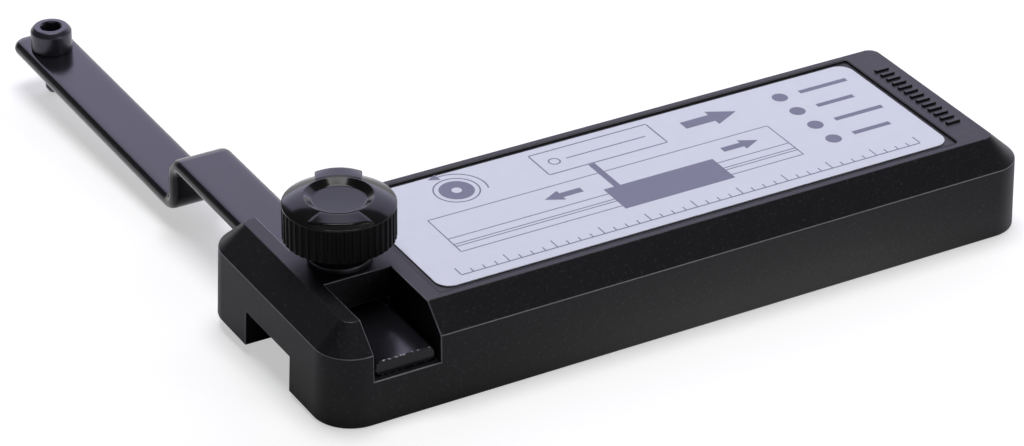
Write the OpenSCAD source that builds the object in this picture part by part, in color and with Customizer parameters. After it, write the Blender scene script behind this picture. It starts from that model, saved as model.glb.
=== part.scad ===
// Guide rail adapter for a jigsaw: a long moulded block that rides on the rib of a
// guide rail, with a cranked rule bar clamped across it by a fluted thumb screw.
// X runs along the rail, Y across it towards the saw, Z up. The origin is on the
// centre line of the rail groove, half way along the block, level with its underside.

/* [Body block] */
// Length of the block along the rail
body_l = 151; // [130:1:180]
// Width of the block across the rail
body_w = 52; // [50:1:62]
// Height of the block from its underside to its top face
body_h = 18.8; // [18:0.2:24]
// Height of the belt line where the sloped faces begin
belt_z = 14.2; // [12.6:0.2:15]
// Draft of the sides below the belt line, in degrees from upright
draft = 2; // [0:0.5:3]
// How far the sloped faces lean in between the belt line and the top face
slope_in = 5; // [3:0.5:6]
// Radius of the upright corners at the underside
corner_r = 7.6; // [7.4:0.2:10]

/* [Rail groove] */
// Width of the groove that rides on the rib of the rail
groove_w = 17.5; // [16:0.5:19]
// Depth of the groove
groove_depth = 7.2; // [5:0.2:7.4]
// Thickness of the floor between the groove and the bar channel
floor_t = 1.6; // [1.2:0.2:2.4]

/* [Underside coring] */
// Thickness of the outer walls around the cored pockets
wall_t = 3; // [2.4:0.2:3.6]
// Thickness of the walls beside the groove and of the cross ribs
rib_t = 2; // [1.6:0.2:3]
// Length wanted for each cored pocket
pocket_l = 13; // [10:1:20]
// Thickness of the roof over the pockets
roof_t = 4.6; // [4:0.2:6]
// Width of the ledge left on each side of the groove roof
ledge_w = 1.75; // [1.25:0.25:3]

/* [Rule bar] */
// Width of the rule bar
bar_w = 12; // [9:0.2:14]
// Thickness of the rule bar, whose long edges are fully round
bar_t = 3; // [2:0.1:3.4]
// Outer radius of the two bends of the crank
bend_r = 5; // [4:0.2:5.4]
// Drop of the crank from the clamped end to the saw end
crank_drop = 10.2; // [8.2:0.2:14]
// Distance from the far side of the block to the riser of the crank
arm_reach = 32.4; // [20:0.1:60]
// Length of the saw end of the bar, measured from the riser
tongue_l = 79.1; // [50:0.1:120]
// Radius of the two rounded corners at the saw end of the bar
bar_corner_r = 3; // [1:0.5:4]
// Radius of the two corners at the clamped end
bar_clamp_r = 0.8; // [0.2:0.1:4]
// Setback of the clamped end from the near side of the block
bar_setback = 1.65; // [0.5:0.05:6]

/* [Bar channel and bridge] */
// Distance from the end of the block to the channel
channel_inset = 8.5; // [8:0.5:12]
// Room on each side of the bar in the open channel
channel_gap = 0.7; // [0.4:0.1:2]
// Room on each side of the bar in the tunnel under the bridge
tunnel_gap = 0.2; // [0.1:0.05:0.4]
// Room over the bar in the tunnel
tunnel_head = 0.55; // [0.4:0.05:1]
// Length of the bridge across the channel
bridge_w = 13.5; // [13:0.5:18]
// Sliding clearance between the bar and what guides it
bar_slip = 0.05; // [0.02:0.01:0.1]

/* [Label] */
// Thickness of the printed label
label_t = 0.25; // [0.15:0.05:0.35]
// Depth of the recess that holds the label
recess_depth = 0.4; // [0.35:0.05:0.8]
// Gap between the label and the wall of its recess
recess_gap = 1; // [0.4:0.1:1.5]
// Radius of the corners of the recess
recess_r = 0.6; // [0.4:0.1:4]
// Plain margin between the channel and the recess
recess_channel_margin = 3.4; // [3:0.2:8]
// Plain margin between the recess and the long edges of the top face
recess_side_margin = 1.5; // [1.5:0.1:5]
// Plain margin between the recess and the end of the top face
recess_end_margin = 7.5; // [5:0.1:14]
// Corner radius of the label
label_r = 3; // [1:0.1:4]
// Length of each raised bar of the mould mark
mark_l = 3; // [1.6:0.2:3.2]
// Width of each raised bar of the mould mark
mark_w = 0.8; // [0.5:0.1:1.2]
// Height of the mould mark
mark_h = 0.4; // [0.2:0.05:0.5]
// Spacing of the mould mark's bars
mark_pitch = 2; // [1.6:0.1:3.2]
// Number of bars in the mould mark
mark_count = 13; // [3:1:16]

/* [Clamp screw and washer] */
// Thread diameter of the clamp screw
screw_d = 6; // [5:0.5:6.5]
// Running clearance on the radius of the clamp screw
screw_slip = 0.05; // [0.02:0.01:0.1]
// Gap between the tip of the clamp screw and the bar at rest
tip_gap = 0.05; // [0.02:0.01:0.1]
// Size across the flats of the clamp screw's moulded-in head
head_af = 10; // [9:0.5:11]
// Height of the moulded-in head
head_h = 4; // [3:0.5:4.5]
// Bevel of the clamp screw's tip
tip_bevel = 0.8; // [0.4:0.1:1.2]
// Outer diameter of the threaded insert
insert_d = 8.2; // [8:0.2:9.4]
// Plastic left over the threaded insert
insert_cover = 1.2; // [0.8:0.2:2]
// Setback of the insert from the underside of the bridge
insert_lip = 0.15; // [0.1:0.05:0.4]
// Depth of the retaining groove round the insert
insert_groove = 0.35; // [0.2:0.05:0.5]
// Outer diameter of the flat washer
washer_d = 12; // [11:0.5:13]
// Thickness of the flat washer
washer_t = 1.2; // [0.8:0.1:2]
// Clearance between the faces that turn or rest on the washer
face_slip = 0.05; // [0.02:0.01:0.1]

/* [Clamp knob] */
// Diameter of the knob over its flutes
knob_d = 20.8; // [19:0.2:30]
// Height of the fluted side
knob_side_h = 6.9; // [5.8:0.1:10]
// Bevel at the bottom of the fluted side
knob_bevel = 0.2; // [0.1:0.1:1]
// Rise of the domed top above the fluted side
dome_h = 1.5; // [1.2:0.1:3]
// Radius of the curve of the domed top
dome_r = 14; // [8:0.5:30]
// Diameter of the well in the top of the knob
well_d = 12.8; // [10:0.2:14]
// Diameter of the flat floor of the well
well_floor_d = 9.8; // [7:0.2:9.8]
// Depth of the well
well_depth = 1; // [0.6:0.1:1.6]
// Diameter of the hub under the knob
hub_d = 11.8; // [11:0.2:14]
// Height of the hub
hub_h = 3.5; // [3:0.1:8]
// Number of flutes round the knob
flute_count = 44; // [24:1:48]
// Radius of the tool that cuts a flute
flute_r = 0.5; // [0.3:0.05:0.6]
// Depth of a flute
flute_depth = 0.35; // [0.2:0.05:0.5]
// Plain band left between the flutes and the domed top
flute_band = 0.3; // [0.2:0.1:1]
// Width of the fan-shaped finger lug where it meets the well
fan_inner_w = 6; // [4:0.2:8]
// Width of the fan-shaped finger lug at its outer end
fan_outer_w = 11.6; // [8:0.2:13]
// Width of the straight finger lug opposite
straight_w = 8.6; // [6:0.2:11]
// Height of the finger lugs over the fluted side at their outer ends
lug_end_h = 1.2; // [0.5:0.1:1.4]
// Setback of the lugs from the knob's outer edge
lug_setback = 0.1; // [0.1:0.1:2]
// Angle of the finger lugs from straight across the block, as the knob rests
knob_turn = 30; // [0:5:175]

/* [Cap screw] */
// Thread diameter of the cap screw
cap_d = 5; // [4:0.5:5]
// Diameter of its head
cap_head_d = 8.5; // [7:0.1:10]
// Height of its head
cap_head_h = 5; // [3:0.1:6]
// Size across the flats of its hex socket
socket_af = 4; // [3:0.1:4]
// Bevel round the mouth of its hex socket
socket_bevel = 0.35; // [0.1:0.05:0.5]
// Depth of its hex socket
socket_depth = 2.5; // [1.5:0.1:2.8]
// Length of the cap screw under its head
cap_l = 10; // [8:0.5:14]
// Diameter of the plain dog point
dog_d = 3.5; // [2.8:0.1:3.8]
// Length of the plain dog point
dog_l = 3; // [2:0.2:4]
// Distance from the end of the bar to the cap screw
cap_inset = 8; // [6:0.5:20]

/* [Hidden] */
$fn = 64;

// A little more than nothing, so that a cut runs clear of the face it starts from
over = 1;
// Facets of the corner cones, which are only blended into a shell
corner_fn = 48;

// Plan of the block
lean = belt_z * tan(draft);
belt_r = corner_r - lean;
top_r = belt_r - slope_in;
post_x = body_l / 2 - corner_r;
post_y = body_w / 2 - corner_r;
top_x = body_l / 2 - lean - slope_in;
top_y = body_w / 2 - lean - slope_in;

// Levels, from the underside up
floor_z = groove_depth + floor_t;
bar_z = floor_z + bar_slip;
bar_top = bar_z + bar_t;
bridge_z = floor_z + bar_t + tunnel_head;
washer_z = body_h + face_slip;
hub_z = washer_z + washer_t + face_slip;
side_z = hub_z + hub_h;
rim_z = side_z + knob_side_h;
crown_z = rim_z + dome_h;
well_z = crown_z - well_depth;

// Channel, tunnel and clamp axis
channel_w = bar_w + 2 * channel_gap;
tunnel_w = bar_w + 2 * tunnel_gap;
channel_x0 = -body_l / 2 + channel_inset;
channel_x1 = channel_x0 + channel_w;
clamp_x = (channel_x0 + channel_x1) / 2;

// Rule bar: it lies against the tunnel's guide on the label side
bar_x1 = clamp_x + tunnel_w / 2 - bar_slip;
bar_x0 = bar_x1 - bar_w;
bar_x = (bar_x0 + bar_x1) / 2;
bar_y0 = -body_w / 2 + bar_setback;
riser_y0 = body_w / 2 + arm_reach;
riser_y1 = riser_y0 + bar_t;
bar_y1 = riser_y0 + tongue_l;
tongue_z = bar_z - crank_drop;
tongue_top = tongue_z + bar_t;
cap_y = bar_y1 - cap_inset;

// Label and its recess
recess_x0 = channel_x1 + recess_channel_margin;
recess_x1 = top_x - recess_end_margin;
recess_y = top_y - recess_side_margin;
recess_z = body_h - recess_depth;
mark_x = (recess_x1 + top_x) / 2;

// Coring of the underside
core_z = body_h - roof_t;
core_x0 = channel_x1 + wall_t;
core_x1 = body_l / 2 - lean - wall_t;
pocket_count = floor((core_x1 - core_x0 + rib_t) / (pocket_l + rib_t));
pocket_pitch = (core_x1 - core_x0 + rib_t) / pocket_count;
side_y0 = groove_w / 2 + rib_t;
side_y1 = body_w / 2 - wall_t;
middle_y = groove_w / 2 - ledge_w;
under_channel_z = floor_z - wall_t;

// Clamp screw and insert
screw_r = screw_d / 2;
tip_z = bar_top + tip_gap;
head_z = side_z + knob_bevel;
screw_hole_r = screw_r + screw_slip;
insert_z0 = bridge_z + insert_lip;
insert_z1 = body_h - insert_cover;
insert_mid = (insert_z0 + insert_z1) / 2;
insert_groove_w = 1.2;

// Knob outline, with the centre and the angles of the arc of its domed top
knob_r = knob_d / 2;
well_r = well_d / 2;
lug_r = knob_r - lug_setback;
dome_steps = 6;
lip = [knob_r, rim_z];
crest = [well_r, crown_z];
half_chord = norm(lip - crest) / 2;
chord_normal = [crest[1] - lip[1], lip[0] - crest[0]] / (2 * half_chord);
dome_mid = (lip + crest) / 2 - chord_normal * sqrt(dome_r * dome_r - half_chord * half_chord);
dome_from = atan2(lip[1] - dome_mid[1], lip[0] - dome_mid[0]);
dome_to = atan2(crest[1] - dome_mid[1], crest[0] - dome_mid[0]);

// Rounded rectangle made of true arcs
module rounded_plate(x0, x1, y0, y1, r) {
    translate([x0 + r, y0]) square([x1 - x0 - 2 * r, y1 - y0]);
    translate([x0, y0 + r]) square([x1 - x0, y1 - y0 - 2 * r]);
    for (x = [x0 + r, x1 - r], y = [y0 + r, y1 - r]) {
        translate([x, y]) circle(r = r);
    }
}

// One layer of the block: four upright cones blended into a drafted slab
module drafted_layer(z, h, r_low, r_high) {
    hull() {
        for (x = [-post_x, post_x], y = [-post_y, post_y]) {
            translate([x, y, z]) cylinder(h = h, r1 = r_low, r2 = r_high, $fn = corner_fn);
        }
    }
}

module core_pocket(x0, x1, y0, y1, z1) {
    translate([x0, y0, -over]) cube([x1 - x0, y1 - y0, z1 + over]);
}

// Rows of cored pockets in both feet and in the roof of the groove
module underside_coring() {
    for (i = [0 : pocket_count - 1]) {
        x0 = core_x0 + i * pocket_pitch;
        x1 = x0 + pocket_pitch - rib_t;
        core_pocket(x0, x1, side_y0, side_y1, core_z);
        core_pocket(x0, x1, -side_y1, -side_y0, core_z);
        core_pocket(x0, x1, -middle_y, middle_y, core_z);
    }
    core_pocket(channel_x0, channel_x1, side_y0, side_y1, under_channel_z);
    core_pocket(channel_x0, channel_x1, -side_y1, -side_y0, under_channel_z);
}

// Open channel for the bar, with the bridge left standing over its middle
module bar_channel() {
    for (side = [-1, 1]) {
        y0 = side > 0 ? bridge_w / 2 : -body_w / 2 - over;
        translate([channel_x0, y0, floor_z]) {
            cube([channel_w, body_w / 2 + over - bridge_w / 2, body_h]);
        }
    }
    translate([clamp_x - tunnel_w / 2, -bridge_w / 2 - over, floor_z]) {
        cube([tunnel_w, bridge_w + 2 * over, bridge_z - floor_z]);
    }
}

// Seat of the threaded insert and the clearance hole above it
module insert_seat() {
    translate([clamp_x, 0, bridge_z - over]) cylinder(h = insert_z1 - bridge_z + over, d = insert_d);
    translate([clamp_x, 0, bridge_z]) cylinder(h = body_h, r = screw_hole_r + insert_groove);
}

// Row of small raised bars moulded on the top face beyond the label
module mould_mark() {
    for (i = [0 : mark_count - 1]) {
        y = (i - (mark_count - 1) / 2) * mark_pitch;
        translate([mark_x - mark_l / 2, y - mark_w / 2, body_h - mark_h]) {
            cube([mark_l, mark_w, 2 * mark_h]);
        }
    }
}

// Glass-filled nylon moulding that rides on the rail
module adapter_body() {
    color("#2b2a2e") {
        difference() {
            union() {
                drafted_layer(0, belt_z, corner_r, belt_r);
                drafted_layer(belt_z, body_h - belt_z, belt_r, top_r);
            }
            translate([-body_l, -groove_w / 2, -over]) {
                cube([2 * body_l, groove_w, groove_depth + over]);
            }
            underside_coring();
            bar_channel();
            insert_seat();
            translate([0, 0, recess_z]) {
                linear_extrude(height = recess_depth + over) {
                    rounded_plate(recess_x0, recess_x1, -recess_y, recess_y, recess_r);
                }
            }
        }
        mould_mark();
    }
}

// Self-adhesive printed label in the shallow recess of the top face
module top_label() {
    color("#cbcee4") {
        translate([0, 0, recess_z]) {
            linear_extrude(height = label_t) {
                rounded_plate(
                    recess_x0 + recess_gap, recess_x1 - recess_gap,
                    recess_gap - recess_y, recess_y - recess_gap, label_r
                );
            }
        }
    }
}

// Threaded metal insert pressed into the bridge from below
module thread_insert() {
    color("#b08d57") {
        translate([clamp_x, 0, 0]) {
            difference() {
                translate([0, 0, insert_z0]) cylinder(h = insert_z1 - insert_z0, d = insert_d);
                translate([0, 0, insert_z0 - over]) cylinder(h = body_h, r = screw_hole_r);
                translate([0, 0, insert_mid - insert_groove_w / 2]) {
                    difference() {
                        cylinder(h = insert_groove_w, d = insert_d + over);
                        cylinder(h = insert_groove_w, d = insert_d - 2 * insert_groove);
                    }
                }
            }
        }
    }
}

// Cross-section of the bar: level on the axis, thickness upwards, long edges fully round
module bar_section() {
    edge_r = bar_t / 2;
    edge_x = bar_w / 2 - edge_r;
    translate([-edge_x, 0]) square([2 * edge_x, bar_t]);
    for (x = [-edge_x, edge_x]) {
        translate([x, edge_r]) circle(r = edge_r);
    }
}

// Level length of bar that runs along Y from the origin
module bar_run(length) {
    translate([0, length, 0]) rotate([90, 0, 0]) linear_extrude(height = length) bar_section();
}

// Quarter bend round an axis along X: turn 0 goes from level down, 180 from upright to level
module bar_bend(turn) {
    rotate([90, 0, 90]) rotate(turn) rotate_extrude(angle = 90) {
        translate([bend_r, 0]) rotate(90) bar_section();
    }
}

// Clamped end, riser and saw end of the bar, with the two bends of the crank
module cranked_bar() {
    upper = [riser_y1 - bend_r, bar_top - bend_r];
    lower = [riser_y0 + bend_r, tongue_z + bend_r];
    translate([bar_x, bar_y0, bar_z]) bar_run(upper[0] - bar_y0);
    translate([bar_x, upper[0], upper[1]]) bar_bend(0);
    translate([bar_x, riser_y0, lower[1]]) linear_extrude(height = upper[1] - lower[1]) bar_section();
    translate([bar_x, lower[0], lower[1]]) bar_bend(180);
    translate([bar_x, lower[0], tongue_z]) bar_run(bar_y1 - lower[0]);
}

// Cranked steel rule bar that carries the saw at a set distance from the rail
module rule_bar() {
    color("#3a383f") {
        difference() {
            intersection() {
                cranked_bar();
                translate([0, 0, tongue_z - over]) {
                    linear_extrude(height = bar_top - tongue_z + 2 * over) {
                        rounded_plate(bar_x0, bar_x1, bar_y0, riser_y0, bar_clamp_r);
                        rounded_plate(bar_x0, bar_x1, 0, bar_y1, bar_corner_r);
                    }
                }
            }
            translate([bar_x, cap_y, tongue_z - over]) cylinder(h = bar_t + 2 * over, d = cap_d);
        }
    }
}

// Socket head cap screw with a plain dog point, screwed home in the saw end of the bar
module cap_screw() {
    head_r = cap_head_d / 2;
    mouth_r = socket_af / 2;
    head_bevel = [0.55, 0.9];
    dog_bevel = [0.6, 1];
    thread_end = dog_l - cap_l;
    color("#2e2d33") {
        translate([bar_x, cap_y, tongue_top]) {
            difference() {
                rotate_extrude() {
                    polygon([
                        [0, -cap_l],
                        [dog_d / 2 - dog_bevel[0], -cap_l],
                        [dog_d / 2, -cap_l + dog_bevel[1]],
                        [dog_d / 2, thread_end],
                        [cap_d / 2, thread_end + (cap_d - dog_d) / 2],
                        [cap_d / 2, 0],
                        [head_r, 0],
                        [head_r, cap_head_h - head_bevel[1]],
                        [head_r - head_bevel[0], cap_head_h],
                        [0, cap_head_h]
                    ]);
                }
                translate([0, 0, cap_head_h - socket_depth]) {
                    cylinder(h = socket_depth + over, d = socket_af / cos(30), $fn = 6);
                }
                translate([0, 0, cap_head_h - socket_bevel]) {
                    cylinder(h = 2 * socket_bevel, r1 = mouth_r, r2 = mouth_r + 2 * socket_bevel);
                }
            }
        }
    }
}

// Flat steel washer under the hub of the knob
module flat_washer() {
    color("#3c3b40") {
        translate([clamp_x, 0, washer_z]) {
            difference() {
                cylinder(h = washer_t, d = washer_d);
                translate([0, 0, -over]) {
                    cylinder(h = washer_t + 2 * over, r = screw_hole_r + insert_groove);
                }
            }
        }
    }
}

// Hex head and shank of the clamp screw, also used to make room for it in the knob
module clamp_screw_solid() {
    rotate_extrude() {
        polygon([
            [0, tip_z],
            [screw_r - tip_bevel, tip_z],
            [screw_r, tip_z + tip_bevel],
            [screw_r, head_z],
            [0, head_z]
        ]);
    }
    translate([0, 0, head_z]) cylinder(h = head_h, d = head_af / cos(30), $fn = 6);
}

// Steel clamp screw, moulded into the knob by its hex head
module clamp_screw() {
    color("#4a4950") translate([clamp_x, 0, 0]) rotate(-knob_turn) clamp_screw_solid();
}

// Half section of the knob: hub, fluted side, domed ring and well
module knob_section() {
    dome = [
        for (i = [0 : dome_steps])
            dome_mid + dome_r * [
                cos(dome_from + (dome_to - dome_from) * i / dome_steps),
                sin(dome_from + (dome_to - dome_from) * i / dome_steps)
            ]
    ];
    polygon(concat(
        [[0, hub_z], [hub_d / 2, hub_z], [hub_d / 2, side_z]],
        [[knob_r - knob_bevel, side_z], [knob_r, side_z + knob_bevel]],
        dome,
        [[well_floor_d / 2, well_z], [0, well_z]]
    ));
}

// Outline of a finger lug that points along +Y from the knob's axis
module lug_outline(inner_w, outer_w) {
    polygon([
        [-inner_w / 2, 0], [inner_w / 2, 0], [inner_w / 2, well_r],
        [outer_w / 2, knob_r], [-outer_w / 2, knob_r], [-inner_w / 2, well_r]
    ]);
}

// Two finger lugs, one straight and one fan-shaped, that slope down from the rim of the well
module knob_lugs() {
    intersection() {
        rotate_extrude() {
            polygon([[well_r, rim_z], [lug_r, rim_z], [lug_r, rim_z + lug_end_h], [well_r, crown_z]]);
        }
        linear_extrude(height = crown_z + over) {
            lug_outline(straight_w, straight_w);
            rotate(180) lug_outline(fan_inner_w, fan_outer_w);
        }
    }
}

module knob_flutes() {
    for (i = [0 : flute_count - 1]) {
        rotate(i * 360 / flute_count) {
            translate([knob_r + flute_r - flute_depth, 0, side_z - over]) {
                cylinder(h = knob_side_h + over - flute_band, r = flute_r);
            }
        }
    }
}

// Moulded thumb knob of the clamp screw
module clamp_knob() {
    color("#1f1e22") {
        translate([clamp_x, 0, 0]) rotate(-knob_turn) {
            difference() {
                union() {
                    rotate_extrude() knob_section();
                    knob_lugs();
                }
                knob_flutes();
                clamp_screw_solid();
            }
        }
    }
}

adapter_body();
top_label();
thread_insert();
rule_bar();
cap_screw();
flat_washer();
clamp_screw();
clamp_knob();
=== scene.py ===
import math

import bmesh
import bpy
from mathutils import Matrix, Vector


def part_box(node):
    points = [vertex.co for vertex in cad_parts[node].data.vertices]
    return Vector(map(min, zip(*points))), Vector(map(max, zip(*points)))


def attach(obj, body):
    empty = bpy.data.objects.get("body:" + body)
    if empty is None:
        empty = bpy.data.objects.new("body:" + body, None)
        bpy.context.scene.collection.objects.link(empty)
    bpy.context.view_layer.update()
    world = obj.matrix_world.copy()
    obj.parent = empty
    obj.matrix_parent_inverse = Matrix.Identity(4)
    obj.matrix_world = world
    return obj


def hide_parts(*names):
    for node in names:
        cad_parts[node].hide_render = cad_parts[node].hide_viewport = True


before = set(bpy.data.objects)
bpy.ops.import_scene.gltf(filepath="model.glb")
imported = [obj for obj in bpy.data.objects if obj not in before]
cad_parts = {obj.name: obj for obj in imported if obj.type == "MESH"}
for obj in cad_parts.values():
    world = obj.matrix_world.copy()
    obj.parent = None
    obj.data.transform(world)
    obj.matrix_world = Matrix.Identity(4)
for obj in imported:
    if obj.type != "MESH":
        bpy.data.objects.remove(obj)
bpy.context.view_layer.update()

# ---------------------------------------------------------------------------
# Adapter body: one injection moulding in black glass-filled nylon. The rail
# groove and the cored pockets are in its underside, the label's recess in its
# top, and a channel for the rule bar crosses one end under a bridge.
# ---------------------------------------------------------------------------
MM = 0.001
body_lo, body_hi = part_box("adapter_body")
label_lo, label_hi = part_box("top_label")
bar_lo, bar_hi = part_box("rule_bar")
washer_lo, washer_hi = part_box("flat_washer")
insert_lo, insert_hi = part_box("thread_insert")

half_l = (body_hi.x - body_lo.x) / 2
half_w = (body_hi.y - body_lo.y) / 2
clamp_x = (washer_lo.x + washer_hi.x) / 2
mark_h = 0.4 * MM
body_top = body_hi.z - mark_h
belt_z = 14.2 * MM
belt_r = 0.6 * MM
corner_r = 7.6 * MM
draft = math.radians(2)
lean = belt_z * math.tan(draft)
slope_in = 5 * MM
top_rim = 1.6 * MM
top_edge_r = 0.4 * MM
foot_edge_r = 0.25 * MM

groove_half = 8.75 * MM
groove_z = 7.2 * MM
bar_t = 3 * MM
play = 0.05 * MM
floor_z = bar_hi.z - bar_t - play
channel_half = 6.7 * MM
tunnel_half = 6.2 * MM
tunnel_z = bar_hi.z + 0.5 * MM
bridge_half = 6.75 * MM
recess_gap = 1 * MM
recess_r = 0.6 * MM
# How far a cutting tool runs past the face that it opens, and how near two heights count as one
past = 5 * MM
hair = 0.02 * MM


def linear(code):
    """Turns an sRGB hex colour into the linear colour that a shader takes."""
    channels = [int(code[i:i + 2], 16) / 255 for i in (1, 3, 5)]
    out = [c / 12.92 if c <= 0.04045 else ((c + 0.055) / 1.055) ** 2.4 for c in channels]
    return (*out, 1.0)


def add(tree, kind, settings, links=()):
    """Adds one node; links are (own input, node that feeds it, its output)."""
    made = tree.nodes.new(kind)
    for key, value in settings.items():
        if isinstance(key, int) or key in made.inputs:
            made.inputs[key].default_value = value
        else:
            setattr(made, key, value)
    for own, other, output in links:
        tree.links.new(other.outputs[output], made.inputs[own])
    return made


def new_material(name, settings):
    """A material with one shader; returns it, its tree and its shader."""
    material = bpy.data.materials.new(name)
    material.use_nodes = True
    shader = material.node_tree.nodes["Principled BSDF"]
    for key, value in settings.items():
        shader.inputs[key].default_value = value
    return material, material.node_tree, shader


# Spark-eroded mould texture: grains of about 0.3 mm, drawn at 0.5 mm so that
# they show. The glass fibre leaves faint cloudy patches some 12 mm across.
# A mix node takes its two colours at inputs 6 and 7 and gives the mixed one at output 2.
nylon, tree, shader = new_material(
    "moulded_glass_filled_nylon", {"IOR": 1.53, "Specular IOR Level": 0.22}
)
place = add(tree, "ShaderNodeTexCoord", {})
grain = add(tree, "ShaderNodeTexNoise", {"Scale": 1 / (0.5 * MM), "Detail": 3.0},
            [("Vector", place, "Object")])
cloud = add(tree, "ShaderNodeTexNoise", {"Scale": 1 / (12 * MM), "Detail": 2.0},
            [("Vector", place, "Object")])
speck = add(tree, "ShaderNodeMapRange", {"From Min": 0.58, "From Max": 0.8}, [("Value", grain, "Fac")])
tone = add(tree, "ShaderNodeMix", {"data_type": "RGBA", 6: linear("#121215"), 7: linear("#18171b")},
           [("Factor", cloud, "Fac")])
fibre = add(tree, "ShaderNodeMix", {"data_type": "RGBA", 7: linear("#333237")},
            [("Factor", speck, "Result"), (6, tone, 2)])
gloss = add(tree, "ShaderNodeMapRange", {"To Min": 0.32, "To Max": 0.42},
            [("Value", grain, "Fac")])
relief = add(tree, "ShaderNodeBump", {"Strength": 0.5, "Distance": 0.04 * MM},
             [("Height", grain, "Fac")])
tree.links.new(fibre.outputs[2], shader.inputs["Base Color"])
tree.links.new(gloss.outputs["Result"], shader.inputs["Roughness"])
tree.links.new(relief.outputs["Normal"], shader.inputs["Normal"])


def mottled(name, settings, size, detail, tones, roughness, relief=None):
    """A material whose tone and roughness drift together, in patches of that size.

    relief is the strength and the height of a bump that follows the same patches."""
    material, tree, shader = new_material(name, settings)
    place = add(tree, "ShaderNodeTexCoord", {})
    patches = add(tree, "ShaderNodeTexNoise", {"Scale": 1 / size, "Detail": detail},
                  [("Vector", place, "Object")])
    tone = add(tree, "ShaderNodeMix", {"data_type": "RGBA", 6: linear(tones[0]), 7: linear(tones[1])},
               [("Factor", patches, "Fac")])
    gloss = add(tree, "ShaderNodeMapRange", {"To Min": roughness[0], "To Max": roughness[1]},
                [("Value", patches, "Fac")])
    tree.links.new(tone.outputs[2], shader.inputs["Base Color"])
    tree.links.new(gloss.outputs["Result"], shader.inputs["Roughness"])
    if relief:
        bump = add(tree, "ShaderNodeBump", {"Strength": relief[0], "Distance": relief[1]},
                   [("Height", patches, "Fac")])
        tree.links.new(bump.outputs["Normal"], shader.inputs["Normal"])
    return material


# Painted highlight on the corners and the belt line: a paler copy of the nylon, its sheen coming and
# going every 3 mm
corner_highlight = mottled(
    "nylon_rubbed_corners", {"IOR": 1.53}, 3 * MM, 4.0, ("#3a393e", "#76747e"), (0.28, 0.45)
)


def fillet(before, corner, after, radius, steps):
    """Points of a round of that radius in one corner of a flat outline."""
    a = (Vector(before) - Vector(corner)).normalized()
    b = (Vector(after) - Vector(corner)).normalized()
    half = math.acos(max(-1, min(1, a.dot(b)))) / 2
    centre = Vector(corner) + (a + b).normalized() * radius / math.sin(half)
    start = Vector(corner) + a * radius / math.tan(half) - centre
    end = Vector(corner) + b * radius / math.tan(half) - centre
    first = math.atan2(start.y, start.x)
    sweep = (math.atan2(end.y, end.x) - first + math.pi) % (2 * math.pi) - math.pi
    points = []
    for i in range(steps + 1):
        angle = first + sweep * i / steps
        points.append((centre.x + radius * math.cos(angle), centre.y + radius * math.sin(angle)))
    return points


def section(*corners, steps=4):
    """Outline from (x, y, radius) corners, each rounded by its own radius."""
    points = [corners[0][:2]]
    for i in range(1, len(corners) - 1):
        before, corner, after = corners[i - 1][:2], corners[i][:2], corners[i + 1][:2]
        radius = corners[i][2]
        points += fillet(before, corner, after, radius, steps) if radius else [corner]
    points.append(corners[-1][:2])
    return points


def plate_ring(lo, hi, radius, inset, z, steps):
    """Outline of a rectangle with round corners, drawn in all round by inset."""
    ring = []
    for quarter in range(4):
        cx = hi[0] - radius if quarter in (0, 3) else lo[0] + radius
        cy = hi[1] - radius if quarter in (0, 1) else lo[1] + radius
        for i in range(steps + 1):
            angle = (quarter + i / steps) * math.pi / 2
            reach = radius - inset
            ring.append((cx + reach * math.cos(angle), cy + reach * math.sin(angle), z))
    return ring


def skin(bm, rings):
    """Joins rings of points into a closed skin with a flat face at each end."""
    rows = [[bm.verts.new(point) for point in ring] for ring in rings]
    for low, high in zip(rows, rows[1:]):
        for i in range(len(low)):
            j = (i + 1) % len(low)
            bm.faces.new((low[i], low[j], high[j], high[i]))
    bm.faces.new(reversed(rows[0]))
    bm.faces.new(rows[-1])


def new_piece(name, bm):
    """Puts a mesh into the scene as an object of that name."""
    bmesh.ops.recalc_face_normals(bm, faces=bm.faces)
    mesh = bpy.data.meshes.new(name)
    bm.to_mesh(mesh)
    bm.free()
    piece = bpy.data.objects.new(name, mesh)
    bpy.context.scene.collection.objects.link(piece)
    return piece


# Outer shell: drafted sides, belt line, sloped faces and rounded top edge
outline = section(
    (2 * MM, 0), (0, 0, foot_edge_r), (lean, belt_z, belt_r),
    (lean + slope_in, body_top, top_edge_r), (lean + slope_in + top_rim, body_top), steps=5
)
bm = bmesh.new()
skin(bm, [
    plate_ring((-half_l, -half_w), (half_l, half_w), corner_r, inset, z, 16) for inset, z in outline
])
body = new_piece("adapter_body_moulding", bm)


def block(bm, lo, hi):
    """A plain rectangular block, for cutting or for adding to a piece."""
    made = bmesh.ops.create_cube(bm, size=1)["verts"]
    size = [hi[i] - lo[i] for i in range(3)]
    middle = [(hi[i] + lo[i]) / 2 for i in range(3)]
    bmesh.ops.scale(bm, vec=size, verts=made)
    bmesh.ops.translate(bm, vec=middle, verts=made)


def combine(piece, bm, operation="DIFFERENCE"):
    """Cuts a mesh out of a piece, or adds it, and keeps the result."""
    tool = new_piece("tool", bm)
    cut = piece.modifiers.new("combine", "BOOLEAN")
    cut.object = tool
    cut.operation = operation
    cut.solver = "EXACT"
    seen = piece.evaluated_get(bpy.context.evaluated_depsgraph_get())
    result = bpy.data.meshes.new_from_object(seen)
    piece.modifiers.remove(cut)
    piece.data = result
    bpy.data.objects.remove(tool)


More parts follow.
